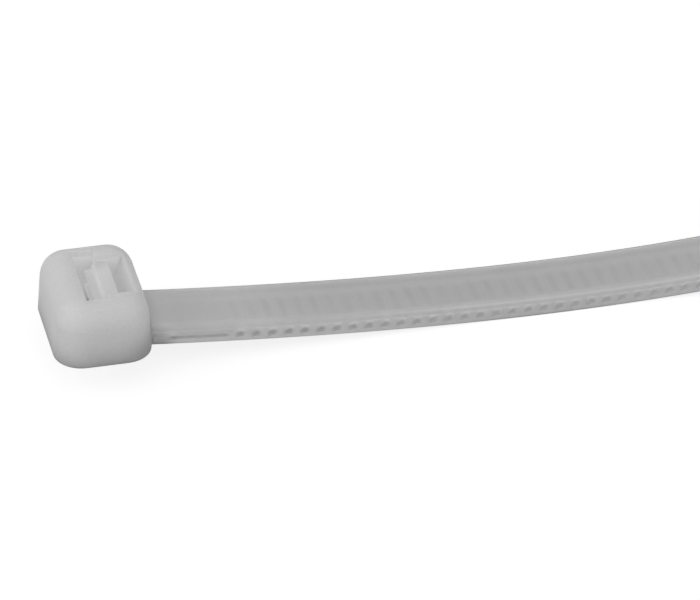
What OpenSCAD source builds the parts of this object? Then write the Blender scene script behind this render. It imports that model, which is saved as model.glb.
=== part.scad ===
// Cable tie moulded in one piece, lying relaxed on a bench.
// X runs along the strap, Y across it, Z up. Z = 0 is the bench.
// The strap leaves the head a little downhill, sags to the bench,
// lifts in a low arch and comes down flat for its tapered tail.

/* [Strap] */
// Width of the strap
strap_w = 4.8; // [4.4:0.1:5.2]
// Thickness over the side rails
strap_t = 1.22; // [1.1:0.02:1.4]
// Length of strap from the head to the tip
strap_len = 150; // [145:1:200]
// Width of the bevel along each top edge
bevel_w = 0.6; // [0.4:0.05:0.8]
// Drop of the bevel at the side face
bevel_h = 0.25; // [0.1:0.05:0.4]
// Width of each side rail beside the teeth
rail_w = 0.35; // [0.3:0.05:0.6]
// Thickness of the web above the teeth
web_t = 0.6; // [0.5:0.05:0.7]

/* [Teeth] */
// Distance from tooth to tooth
tooth_pitch = 1.1; // [1.0:0.05:1.3]
// How far the tooth crests sit inside the rails
crest_inset = 0.08; // [0.04:0.02:0.16]
// Plain recess between the head and the first tooth
plain_run = 5.9; // [4:0.1:8]

/* [Tail] */
// Length of the tapered grip at the end
grip_len = 25; // [20:1:28]
// Width of the strap at its tip
tip_w = 2.4; // [2:0.1:3]
// Depth of the grip notches
notch_d = 0.22; // [0.1:0.02:0.26]
// Distance from notch to notch
notch_pitch = 2; // [1.6:0.1:2.2]
// Radius at the very tip
tip_round = 0.9; // [0.6:0.1:1]

/* [Head] */
// Length of the head along the strap
head_l = 6.5; // [6.2:0.1:7]
// Width of the head across the strap
head_w = 8.75; // [8.3:0.05:9.4]
// Height of the head
head_h = 4.25; // [4.1:0.05:4.6]
// How far the head's foot reaches past the strap's root
root_out = 0.03; // [0:0.01:0.2]
// Corner radius seen from above
corner_r = 1.87; // [1.85:0.01:2.1]
// Radius of the rounding around the top
top_r = 1.65; // [1:0.05:1.7]
// Inward lean of the side faces in degrees
side_lean = 3; // [1:0.1:3]
// Wall behind the slot, on the side away from the strap
back_wall = 2.3; // [2:0.05:2.5]
// Radius where the strap's edges run into the head
root_r = 0.5; // [0.3:0.1:1.2]
// Wall between the pawl's pocket and the strap, at the rim
front_wall = 0.95; // [0.85:0.05:1.1]
// Depth of the sunk rim around the openings on top
rim_d = 0.4; // [0.2:0.05:0.5]

/* [Fits] */
// Clearance of the slot around the strap's thickness
slot_gap = 0.1; // [0.05:0.05:0.2]
// Clearance of the slot at each edge of the strap
slot_side_gap = 0.23; // [0.1:0.01:0.3]
// Clearance of the pawl at each side of its chamber
pawl_side_gap = 0.15; // [0.1:0.05:0.25]
// Clearance of the pawl at each side of the strap's teeth
pawl_rail_gap = 0.08; // [0.05:0.01:0.15]

/* [Rest shape] */
// Downhill angle of the strap where it leaves the head
root_dip = 5.9; // [4:0.1:8]
// Drop of the strap's underside below the head's at the root
root_drop = 0.22; // [0:0.01:0.3]
// Length of each of the four bends of the sag
sag_len = 12; // [10:1:13]
// Length of the arch
arch_len = 40; // [36:1:44]
// Length of the bend that lands on the bench
landing_len = 26; // [20:1:27]
// Downhill angle between the arch and the tail
arch_fall = 7; // [5:0.5:9]

/* [Hidden] */
half_w = strap_w / 2;
tooth_half = half_w - rail_w;
tooth_root = strap_t - web_t;
sweep_step = 1.5;
root_in = 1.3;
rise_turn = 13.9 - root_dip + arch_fall;
belly_bends = [[sag_len, 2], [sag_len, 2.6], [sag_len, 3.8], [sag_len, 5.5]];
arch_bend = [arch_len, -rise_turn];
landing_bend = [landing_len, arch_fall];
sag_bends = concat(belly_bends, [arch_bend]);
bench_z = min([for (k = [0:200]) place(sag_bends, 4 * sag_len * k / 200)[1]]);
arch_end_z = place(sag_bends, 4 * sag_len + arch_len)[1];
landing_drop = landing_len / (arch_fall * PI / 180) * (1 - cos(arch_fall));
slope_len = (arch_end_z - bench_z - landing_drop) / sin(arch_fall);
bends = concat(sag_bends, [[slope_len, 0], landing_bend, [strap_len, 0]]);
grip_start = strap_len - grip_len;
tooth_count = floor((grip_start - 1 - plain_run) / tooth_pitch);
teeth_end = plain_run + tooth_count * tooth_pitch;
slot_back = root_out - head_l + back_wall;
slot_front = slot_back + strap_t + slot_gap;
slot_half = half_w + slot_side_gap;
pawl_half = tooth_half - pawl_rail_gap;
chamber_half = pawl_half + pawl_side_gap;
pawl_tip = slot_back + web_t + slot_gap / 2;
pawl_face = pawl_tip + tooth_root - 2 * crest_inset;
rim_z = head_h - rim_d;
pawl_top = rim_z - 2 * slot_gap;
pocket_wall = -front_wall;
pawl_back = pawl_face + 0.53 * (pocket_wall - pawl_face);
hinge_wall = pocket_wall - front_wall / 2;
hinge_low = 0.2 * head_h;
hinge_high = 0.42 * head_h;
tip_x = at(strap_len, 0)[0];
mid_x = (tip_x + root_out - head_l) / 2;

// Length of bends before bend i, and the heading at its start
function len_to(b, i) = i == 0 ? 0 : len_to(b, i - 1) + b[i - 1][0];
function dir_to(b, i) = i == 0 ? -root_dip : dir_to(b, i - 1) + b[i - 1][1];

// Part of bend i that lies before distance s along the strap
function used(b, i, s) = i == 0
    ? min(s, b[0][0])
    : max(0, min(s - len_to(b, i), b[i][0]));

// Straight line across the first u millimetres of bend i
function turn_at(b, i, u) = b[i][1] * u / b[i][0];
function chord_len(b, i, u) = abs(turn_at(b, i, u)) < 0.0001
    ? u
    : u * sin(turn_at(b, i, u) / 2) / (turn_at(b, i, u) / 2 * PI / 180);
function chord(b, i, u) =
    let (a = dir_to(b, i) + turn_at(b, i, u) / 2)
    chord_len(b, i, u) * [cos(a), sin(a)];

// Point of the strap's underside at distance s, and the heading there
function chords(b, s, i) = i < 0
    ? [0, -root_drop]
    : chords(b, s, i - 1) + chord(b, i, used(b, i, s));
function place(b, s) = chords(b, s, len(b) - 1);
function heading(s, i = 0) = i == len(bends)
    ? -root_dip
    : heading(s, i + 1) + turn_at(bends, i, used(bends, i, s));

// Point at distance s along the strap and height n above its underside
function at(s, n) =
    let (a = heading(s))
    place(bends, s) + n * [-sin(a), cos(a)];

// Half width of the strap at distance s, rounded off at the very tip
function half_at(s) =
    let (u = max(0, s - grip_start) / grip_len)
    let (w = half_w + u * (tip_w / 2 - half_w))
    let (r = max(0, s - strap_len + tip_round))
    w - tip_round + sqrt(tip_round * tip_round - 0.75 * r * r);

// One cross-section of the strap as six points
function ring(s) =
    let (w = half_at(s))
    let (v = max(bevel_w / 4, w - bevel_w))
    let (low = at(s, 0))
    let (side = at(s, strap_t - bevel_h))
    let (top = at(s, strap_t))
    [
        [low[0], -w, low[1]],
        [low[0], w, low[1]],
        [side[0], w, side[1]],
        [top[0], v, top[1]],
        [top[0], -v, top[1]],
        [side[0], -w, side[1]]
    ];

stations = concat(
    [for (s = [-root_in:sweep_step:strap_len - 1.3 * tip_round]) s],
    [for (k = [0:5]) strap_len + tip_round * (sin(18 * k) - 1)]
);

// Solid strap with bevelled top edges, swept along its rest shape
module strap_body() {
    n = len(stations);
    points = [for (s = stations) each ring(s)];
    sides = [for (i = [0:n - 2], j = [0:5])
        [6 * i + 6 + j, 6 * i + 6 + (j + 1) % 6, 6 * i + (j + 1) % 6, 6 * i + j]];
    first = [[0, 1, 2, 3, 4, 5]];
    last = [[for (j = [5:-1:0]) 6 * (n - 1) + j]];
    polyhedron(points = points, faces = concat(sides, first, last));
}

// Side view of one tooth space and the tooth after it
function tooth(s) = [
    at(s, tooth_root),
    at(s, crest_inset),
    at(s + 0.18 * tooth_pitch, crest_inset),
    at(s + 0.78 * tooth_pitch, tooth_root)
];

// Space under the web: a plain recess, then the rack of saw teeth
module rack_space() {
    below = [for (s = [teeth_end:-6:0]) at(s, -0.6)];
    rack = [for (k = [0:tooth_count - 1]) each tooth(plain_run + k * tooth_pitch)];
    rotate([90, 0, 0])
        linear_extrude(2 * tooth_half, center = true)
            polygon(concat(
                [at(1.1, -0.6), at(1.1, 0), at(1.9, tooth_root)],
                rack,
                [at(teeth_end, tooth_root), at(teeth_end + 0.8, 0), at(teeth_end + 0.8, -0.6)],
                below
            ));
}

// Shallow notches across both faces of the tapered grip
module grip_notches() {
    for (k = [1:9]) {
        s = grip_start + (k + 1.1) * notch_pitch;
        low = at(s, 0);
        high = at(s, strap_t);
        for (p = [low, high])
            translate([p[0], 0, p[1]])
                rotate([0, 45, 0])
                    cube([notch_d * sqrt(2), strap_w + 1, notch_d * sqrt(2)], center = true);
    }
}

// Half of the head's side view about a corner's centre line
module edge_profile() {
    lean = tan(side_lean);
    zc = head_h - top_r;
    xc = corner_r - top_r / cos(side_lean) - lean * zc;
    tx = xc + top_r * cos(side_lean);
    tz = zc + top_r * sin(side_lean);
    polygon([[0, 0], [corner_r, 0], [tx, tz], [xc, zc], [xc, head_h], [0, head_h]]);
    intersection() {
        translate([xc, zc])
            circle(top_r, $fn = 64);
        polygon([[xc, zc], [tx, tz], [tx + 1, tz], [tx + 1, head_h + 1], [xc, head_h + 1]]);
    }
}

// Full side view of the head for a given overall size
module full_profile(size) {
    for (m = [0, 1])
        mirror([m, 0])
            translate([size / 2 - corner_r, 0])
                edge_profile();
    translate([-size / 2 + corner_r, 0])
        square([size - 2 * corner_r, head_h]);
}

// Rounded box of the head before its openings
module head_blank() {
    translate([root_out - head_l / 2, 0, 0]) {
        rotate([90, 0, 0])
            linear_extrude(head_w - 2 * corner_r, center = true)
                full_profile(head_l);
        rotate([90, 0, 90])
            linear_extrude(head_l - 2 * corner_r, center = true)
                full_profile(head_w);
        for (mx = [0, 1], my = [0, 1])
            mirror([mx, 0, 0])
                mirror([0, my, 0])
                    translate([head_l / 2 - corner_r, head_w / 2 - corner_r, 0])
                        rotate_extrude(angle = 90, $fn = 96)
                            edge_profile();
    }
}

// Fillets in plan between the strap's edges and the head
module root_fillets() {
    for (m = [0, 1])
        mirror([0, m, 0])
            translate([0, 0, -root_drop])
                rotate([0, root_dip, 0])
                    translate([-0.6, half_w - 0.15, 0.04])
                        linear_extrude(strap_t - bevel_h - 0.08)
                            difference() {
                                square([root_r + 0.55, root_r + 0.1]);
                                translate([root_r + 0.55, root_r + 0.1])
                                    circle(root_r, $fn = 64);
                            }
}

// Space below the head's foot, which the strap's root stays clear of
module under_foot() {
    translate([root_out - head_l, -head_w / 2, -head_h])
        cube([head_l, head_w, head_h]);
}

// Sloped-wall opening between two heights, wider at the top by flare
module flared(x0, x1, half, z0, z1, flare) {
    intersection() {
        rotate([90, 0, 0])
            linear_extrude(4 * half, center = true)
                polygon([[x0, z0], [x1, z0], [x1 + flare, z1], [x0 - flare, z1]]);
        rotate([90, 0, 90])
            linear_extrude(4 * head_l, center = true)
                polygon([[-half, z0], [half, z0], [half + flare, z1], [-half - flare, z1]]);
    }
}

// Straight slot for the tail, with a funnel where the tail goes in
module tail_slot() {
    translate([slot_back, -slot_half, -1])
        cube([slot_front - slot_back, 2 * slot_half, head_h + 2]);
    mirror([0, 0, 1])
        flared(slot_back, slot_front, slot_half, -0.5, 0.02, 0.35);
    flared(slot_back, slot_front, slot_half, rim_z, head_h + 0.02, 0.15);
}

// Space in which the pawl swings back when the tail passes
module pawl_chamber() {
    rotate([90, 0, 0])
        linear_extrude(2 * chamber_half, center = true)
            polygon([
                [slot_front - 0.2, -0.5],
                [hinge_wall - 0.3, -0.5],
                [hinge_wall - 0.1, hinge_low],
                [hinge_wall - 0.1, hinge_high],
                [pocket_wall, rim_z],
                [pocket_wall, head_h + 1],
                [slot_front - 0.2, head_h + 1]
            ]);
    flared(slot_front - 0.2, pocket_wall, chamber_half, rim_z, head_h + 0.02, 0.25);
}

// Side view of one pawl tooth, ramp below and catch above
function pawl_tooth(z) = [
    [pawl_face, z],
    [pawl_tip, z + 0.72 * tooth_pitch],
    [pawl_tip, z + 0.8 * tooth_pitch],
    [pawl_face, z + 0.9 * tooth_pitch]
];

// Toothed pawl on its thin hinge
module pawl() {
    foot = pawl_top - 0.25 - 2 * tooth_pitch;
    rotate([90, 0, 0])
        linear_extrude(2 * pawl_half, center = true)
            polygon(concat(
                [
                    [hinge_wall + 0.3, hinge_low],
                    [(pawl_face + hinge_wall) / 2, hinge_low],
                    [pawl_face, foot - 0.1]
                ],
                pawl_tooth(foot),
                pawl_tooth(foot + tooth_pitch),
                [
                    [pawl_face, pawl_top - 0.2],
                    [pawl_face + 0.15, pawl_top],
                    [pawl_back, pawl_top],
                    [pawl_back, pawl_top - 0.2],
                    [pawl_back + 0.12, hinge_high + 0.2],
                    [pawl_back + 0.3, hinge_high],
                    [hinge_wall + 0.3, hinge_high]
                ]
            ));
}

// The whole moulding: head, strap and pawl
module cable_tie() {
    color([0.9, 0.9, 0.88])
        translate([-mid_x, 0, -bench_z])
            union() {
                difference() {
                    union() {
                        head_blank();
                        difference() {
                            union() {
                                strap_body();
                                root_fillets();
                            }
                            rack_space();
                            grip_notches();
                            under_foot();
                        }
                    }
                    tail_slot();
                    pawl_chamber();
                }
                pawl();
            }
}

cable_tie();
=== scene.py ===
import math

import bpy
from mathutils import Matrix, Vector


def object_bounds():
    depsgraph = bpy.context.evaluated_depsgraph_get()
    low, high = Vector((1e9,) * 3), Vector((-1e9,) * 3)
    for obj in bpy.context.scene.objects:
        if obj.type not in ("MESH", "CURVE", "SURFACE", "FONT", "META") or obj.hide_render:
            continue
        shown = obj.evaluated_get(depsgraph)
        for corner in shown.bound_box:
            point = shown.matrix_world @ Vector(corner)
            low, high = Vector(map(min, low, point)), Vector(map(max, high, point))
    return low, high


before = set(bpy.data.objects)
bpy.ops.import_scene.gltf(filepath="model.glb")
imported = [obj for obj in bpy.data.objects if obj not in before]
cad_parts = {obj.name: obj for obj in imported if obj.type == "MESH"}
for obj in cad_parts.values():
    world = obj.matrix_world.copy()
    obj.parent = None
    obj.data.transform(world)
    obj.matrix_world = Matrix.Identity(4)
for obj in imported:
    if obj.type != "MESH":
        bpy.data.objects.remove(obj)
box_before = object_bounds()

# The cable tie: one moulding of natural nylon, a milky plastic that lets
# some light through. Its edges are a little soft from the mould, and its
# teeth and recess show faintly through the strap.
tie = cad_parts["cable_tie"]
soft_edge_m = 0.00007
flat_within_rad = 0.004
sharp_from_rad = 0.35

for polygon in tie.data.polygons:
    polygon.use_smooth = True
merge = tie.modifiers.new("flat faces", "DECIMATE")
merge.decimate_type = "DISSOLVE"
merge.angle_limit = flat_within_rad
soften = tie.modifiers.new("soft edges", "BEVEL")
soften.width = soft_edge_m
soften.segments = 2
soften.limit_method = "ANGLE"
soften.angle_limit = sharp_from_rad
soften.use_clamp_overlap = True
soften.harden_normals = True

nylon = bpy.data.materials.new("natural_nylon")
nylon.use_nodes = True
nodes = nylon.node_tree.nodes
links = nylon.node_tree.links
shader = nodes["Principled BSDF"]


def reckon(operation, *parts):
    """One sum on the surface, from numbers or from other sums."""
    node = nodes.new("ShaderNodeMath")
    node.operation = operation
    for socket, part in zip(node.inputs, parts):
        if isinstance(part, (int, float)):
            socket.default_value = part
        else:
            links.new(part, socket)
    return node.outputs[0]


def rising(value, low, high):
    """0 below low, 1 above high, and smooth between."""
    node = nodes.new("ShaderNodeMapRange")
    node.interpolation_type = "SMOOTHSTEP"
    links.new(value, node.inputs["Value"])
    node.inputs["From Min"].default_value = low
    node.inputs["From Max"].default_value = high
    return node.outputs["Result"]


def falling(value, low, high):
    """1 below low, 0 above high, and smooth between."""
    return reckon("SUBTRACT", 1, rising(value, low, high))


def band(value, low, high, soft):
    """1 between low and high, and 0 outside."""
    up = rising(value, low - soft, low + soft)
    past = rising(value, high - soft, high + soft)
    return reckon("SUBTRACT", up, past)


def every(*masks):
    """What is left where all the masks overlap."""
    product = masks[0]
    for mask in masks[1:]:
        product = reckon("MULTIPLY", product, mask)
    return product


def blend(mask, outside, inside):
    """One value outside the mask and another inside it."""
    return reckon("MULTIPLY_ADD", mask, inside - outside, outside)


# Places on the tie are in millimetres: along the strap from its root, across
# from its middle line, and up from the underside of the head.
head_length = 6.47
root_x = box_before[0][0] * 1000 + head_length
head_foot_z = 1.836
where = nodes.new("ShaderNodeTexCoord")
split = nodes.new("ShaderNodeSeparateXYZ")
links.new(where.outputs["Object"], split.inputs["Vector"])
along = reckon("MULTIPLY_ADD", split.outputs["X"], 1000, -root_x)
across = reckon("MULTIPLY", split.outputs["Y"], 1000)
aside = reckon("ABSOLUTE", across)
up = reckon("MULTIPLY_ADD", split.outputs["Z"], 1000, -head_foot_z)

# The strap lies in bends, each with a length and a turn in degrees. They
# give how far along it a point is, and how high above its underside.
root_drop = 0.22
root_dip = 5.9
bends = ((12, 2), (12, 2.6), (12, 3.8), (12, 5.5), (40, -15), (26.26, 7), (35, 0))
bend_steps = 6
curve_reach = 160
curve_low = -3
curve_high = 3

lie = [(0, 0, -root_drop)]
heading = -root_dip
for length, turn in bends:
    step_length = length / bend_steps
    for step in range(bend_steps):
        far, x, z = lie[-1]
        heading += turn / bend_steps / 2
        x += step_length * math.cos(math.radians(heading))
        z += step_length * math.sin(math.radians(heading))
        heading += turn / bend_steps / 2
        lie.append((far + step_length, x, z))


def follow(points):
    """A smooth curve over the strap's reach, as a value on the surface."""
    node = nodes.new("ShaderNodeFloatCurve")
    curve = node.mapping.curves[0]
    curve.points[0].location = points[0]
    curve.points[1].location = points[-1]
    for point in points[1:-1]:
        curve.points.new(*point)
    node.mapping.update()
    links.new(reckon("DIVIDE", along, curve_reach), node.inputs["Value"])
    return node.outputs["Value"]


curve_tall = curve_high - curve_low
under = follow([(x / curve_reach, (z - curve_low) / curve_tall) for far, x, z in lie])
height = reckon("SUBTRACT", up, blend(under, curve_low, curve_high))
run = reckon("ADD", along, follow([(x / curve_reach, far - x) for far, x, z in lie]))

strap = rising(along, 0.05, 0.35)
head = reckon("SUBTRACT", 1, strap)
flank = every(strap, rising(aside, 2.26, 2.36), falling(height, 0.92, 1.02))
face = every(strap, rising(height, 0.9, 1.1))


def speckle(scale, detail):
    """Random specks through the plastic, finer as the scale grows."""
    node = nodes.new("ShaderNodeTexNoise")
    node.inputs["Scale"].default_value = scale
    node.inputs["Detail"].default_value = detail
    links.new(where.outputs["Object"], node.inputs["Vector"])
    return node.outputs["Fac"]


# Uneven flow in the mould leaves the plastic a little cloudy, and the mould
# gives it a fine matt grain.
cloud = speckle(420, 3)
grain = speckle(8000, 2)

# The bent light brings what lies under the strap's face a little forward.
forward = 0.6
seen = reckon("ABSOLUTE", reckon("ADD", across, forward))

# The teeth stand one pitch apart after a plain run, and each shows as a dark
# spot on the flanks. A spot hangs down a little towards the head, and the
# spots lie higher further along the strap.
tooth_pitch = 1.1
plain_run = 5.9
teeth_end = 123.6
first_spot = plain_run + 0.15 * tooth_pitch
spot_height = 0.52
spot_slant = 0.35
spot_climb = 0.1
spot_half_length = 0.36
spot_half_height = 0.25

teeth = band(run, plain_run - 0.4, teeth_end, 0.2)
pitches = reckon("DIVIDE", reckon("SUBTRACT", run, first_spot - tooth_pitch / 2), tooth_pitch)
off = reckon("MULTIPLY", reckon("SUBTRACT", reckon("FRACT", pitches), 0.5), tooth_pitch)
headward = reckon("MAXIMUM", reckon("MULTIPLY", off, -1), 0)
rise = reckon("MULTIPLY_ADD", headward, spot_slant, reckon("SUBTRACT", height, spot_height))
rise = reckon("MULTIPLY_ADD", rising(run, 8, 34), -spot_climb, rise)
oval = reckon(
    "ADD",
    reckon("POWER", reckon("ABSOLUTE", reckon("DIVIDE", off, spot_half_length)), 3),
    reckon("POWER", reckon("ABSOLUTE", reckon("DIVIDE", rise, spot_half_height)), 3),
)
dot = every(flank, teeth, reckon("EXPONENT", reckon("MULTIPLY", oval, -1)))

# The same teeth show as faint, uneven rungs through the middle of the face.
wave = reckon("COSINE", reckon("MULTIPLY", off, 2 * math.pi / tooth_pitch))
rung = every(face, teeth, rising(wave, -0.4, 1), falling(seen, 0.6, 1.5), blend(cloud, -0.5, 2.5))

# The plain recess by the head shows as a line on each flank, and the inner wall of each rail
# as a band beside the middle of the strap's face. The band on the far side also stands in for
# shade, so it is partly painted shade. Painted shade darkens the strap's far edge, the foot of
# each flank, the strap's root, and the flanks by the root.
recess = every(flank, band(run, 1.35, plain_run - 0.6, 0.3), band(height, 0.35, 0.61, 0.09))
rail_wall_and_painted_shade = every(face, band(seen, 1.75, 2.2, 0.14), rising(run, 3, 12))
far_edge_painted_shade = every(
    strap,
    rising(across, 2.1, 2.25),
    rising(height, 0.8, 0.95),
    blend(rising(run, 2, 16), 0.25, 1),
    falling(run, 42, 60),
)
foot_painted_shade = every(flank, falling(height, 0.04, 0.17), blend(rising(run, 10, 24), 0.4, 1))
root_painted_shade = every(strap, rising(aside, 1.6, 2.6), falling(run, 0.6, 2.3))
corner = every(flank, band(height, 0.45, 0.95, 0.15), falling(run, 0.5, 1.9))

# Painted shade also darkens the low parts of the head, most of all by the strap, and the
# wall that closes the pawl's pocket.
slot_start = -4.4
pocket_end = -0.8
beside_middle = falling(aside, 2.8, 2.9)
low = every(head, falling(up, -0.4, 2.0))
nook_painted_shade = every(head, rising(along, -3, 0.3), falling(up, 0.2, 2.7))
end_wall_painted_shade = every(band(along, -1.1, pocket_end, 0.04), band(up, 0.1, 3.8, 0.05), beside_middle)

# The teeth spots and see-through lines, and the painted shade, darken the colour and the glow
# together.
marks_and_painted_shade = every(dot, blend(rising(run, 8, 22), 0.57, 0.45))
for mark, strength in (
    (recess, 0.46),
    (rung, 0.08),
    (rail_wall_and_painted_shade, 0.08),
    (far_edge_painted_shade, 0.55),
    (foot_painted_shade, 0.34),
    (root_painted_shade, 0.34),
    (corner, 0.16),
    (low, 0.15),
    (nook_painted_shade, 0.34),
    (end_wall_painted_shade, 0.08),
):
    marks_and_painted_shade = reckon("MULTIPLY_ADD", mark, strength, marks_and_painted_shade)
clear = reckon("SUBTRACT", 1, marks_and_painted_shade)

# Painted light: the flanks' colour is made whiter than the rest, for the light they carry from
# within.
base_with_painted_flank_light = blend(flank, 0.74, 1)
tone = every(base_with_painted_flank_light, clear, blend(cloud, 0.98, 1.02), blend(grain, 0.915, 1.085))
milky = nodes.new("ShaderNodeCombineColor")
for channel in ("Red", "Green", "Blue"):
    links.new(tone, milky.inputs[channel])
links.new(milky.outputs["Color"], shader.inputs["Base Color"])

# Painted light: the walls of the slot and of the pawl's pocket, and the strap's flanks, glow a
# little for the light that soaks through the plastic. The strap's face glows a little by the
# head, with a painted highlight line by each bevel and a faint painted streak just off the
# middle.
soaked = every(
    band(along, slot_start, pocket_end, 0.04),
    beside_middle,
    band(up, 0.1, 3.85, 0.05),
    blend(rising(along, -2.9, -2.8), 1, 0.7),
    blend(rising(along, -1.35, -1.0), 1, 0.3),
    blend(rising(up, 0.8, 3.2), 1, 0.5),
    blend(every(rising(along, -2.6, -2.2), rising(across, 0.4, 2.4)), 1, 1.25),
)
passed = every(flank, falling(height, -0.1, 1.25), rising(run, 0.6, 2.1))
led = every(face, rising(run, 0.2, 1.2), falling(run, 4, 12))
painted_bevel_highlight = every(face, band(aside, 2.0, 2.17, 0.07), rising(run, 4, 26))
painted_light_streak = every(face, band(across, 0.4, 0.9, 0.2), rising(run, 0.5, 2))
painted_glow = reckon("MULTIPLY", soaked, 0.18)
for light, strength in ((passed, 0.22), (led, 0.042), (painted_bevel_highlight, 0.09), (painted_light_streak, 0.02)):
    painted_glow = reckon("MULTIPLY_ADD", light, strength, painted_glow)
links.new(every(painted_glow, clear), shader.inputs["Emission Strength"])
shader.inputs["Emission Color"].default_value = (1, 1, 1, 1)

# The grain is in the gloss and in the surface too.
links.new(blend(grain, 0.54, 0.66), shader.inputs["Roughness"])
pitted = nodes.new("ShaderNodeBump")
pitted.inputs["Strength"].default_value = 0.1
pitted.inputs["Distance"].default_value = 0.00002
links.new(grain, pitted.inputs["Height"])
links.new(pitted.outputs["Normal"], shader.inputs["Normal"])

shader.inputs["IOR"].default_value = 1.53
shader.inputs["Specular IOR Level"].default_value = 0.25
shader.inputs["Subsurface Weight"].default_value = 1
shader.inputs["Subsurface Radius"].default_value = (1, 1, 1)
shader.inputs["Subsurface Scale"].default_value = 0.004
tie.data.materials.clear()
tie.data.materials.append(nylon)

# The bench: a plain sheet of pale paper that the tie lies on, wide enough to
# fill the picture. The camera, gloss and glass see it as white, and the
# tie's shadow stays on it.
bench_size_m = 6
below_tie_m = 0.00001
paper_tone = 0.35
paper_white = 0.8

bpy.ops.mesh.primitive_plane_add(size=bench_size_m, location=(0, 0, -below_tie_m))
bench = bpy.context.object
bench.name = "bench"
paper = bpy.data.materials.new("white_paper")
paper.use_nodes = True
nodes = paper.node_tree.nodes
links = paper.node_tree.links
nodes.clear()
matt = nodes.new("ShaderNodeBsdfDiffuse")
matt.inputs["Color"].default_value = (paper_tone, paper_tone, paper_tone, 1)
white = nodes.new("ShaderNodeEmission")
white.inputs["Color"].default_value = (1, 1, 1, 1)
ray = nodes.new("ShaderNodeLightPath")
by_camera_or_gloss = reckon("MAXIMUM", ray.outputs["Is Camera Ray"], ray.outputs["Is Glossy Ray"])
looked_at = reckon("MAXIMUM", by_camera_or_gloss, ray.outputs["Is Transmission Ray"])
links.new(reckon("MULTIPLY", looked_at, paper_white), white.inputs["Strength"])
both = nodes.new("ShaderNodeAddShader")
links.new(matt.outputs[0], both.inputs[0])
links.new(white.outputs[0], both.inputs[1])
sheet = nodes.new("ShaderNodeOutputMaterial")
links.new(both.outputs[0], sheet.inputs["Surface"])
bench.data.materials.append(paper)

# The studio's light: a pale room that is even all round, soft square lamps
# to the left and in front, and a weak one behind to the left. All of them
# point at the strap by the head.
room_strength = 0.46
lamp_size_m = 0.5
lamps_aim = Vector((-0.05, 0, 0))

room = bpy.data.worlds.new("pale_room")
bpy.context.scene.world = room
room.use_nodes = True
room.node_tree.nodes["Background"].inputs["Color"].default_value = (1, 1, 1, 1)
room.node_tree.nodes["Background"].inputs["Strength"].default_value = room_strength

for name, watts, place in (
    ("left_lamp", 0.92, (-0.6, 0, 0.32)),
    ("front_lamp", 0.93, (-0.05, -0.6, 0.24)),
    ("back_lamp", 0.2, (-0.45, 0.4, 0.35)),
):
    lamp = bpy.data.objects.new(name, bpy.data.lights.new(name, "AREA"))
    lamp.data.size = lamp_size_m
    lamp.data.energy = watts
    lamp.location = place
    lamp.rotation_euler = (lamps_aim - lamp.location).to_track_quat("-Z", "Y").to_euler()
    bpy.context.scene.collection.objects.link(lamp)

# The camera: a long lens above and to the left of the strap, where the
# photograph was taken from. Its place and turn come from a fit to the
# strap's edges, its teeth and the head's outline.
camera_place = Vector((-0.12160252, -0.22957577, 0.17357424))
to_the_right = Vector((0.96844636, -0.24731422, 0.03077857))
downward = Vector((-0.12078155, -0.57377561, -0.81005763))
ahead = Vector((0.21799876, 0.78077988, -0.58554189))

camera = bpy.data.objects.new("camera", bpy.data.cameras.new("camera"))
camera.data.sensor_width = 36
camera.data.lens = 227.25
camera.data.clip_start = 0.01
turned = Matrix((to_the_right, -downward, -ahead)).transposed().to_4x4()
camera.matrix_world = Matrix.Translation(camera_place) @ turned
bpy.context.scene.collection.objects.link(camera)
bpy.context.scene.camera = camera
bpy.context.scene.view_settings.view_transform = "Standard"
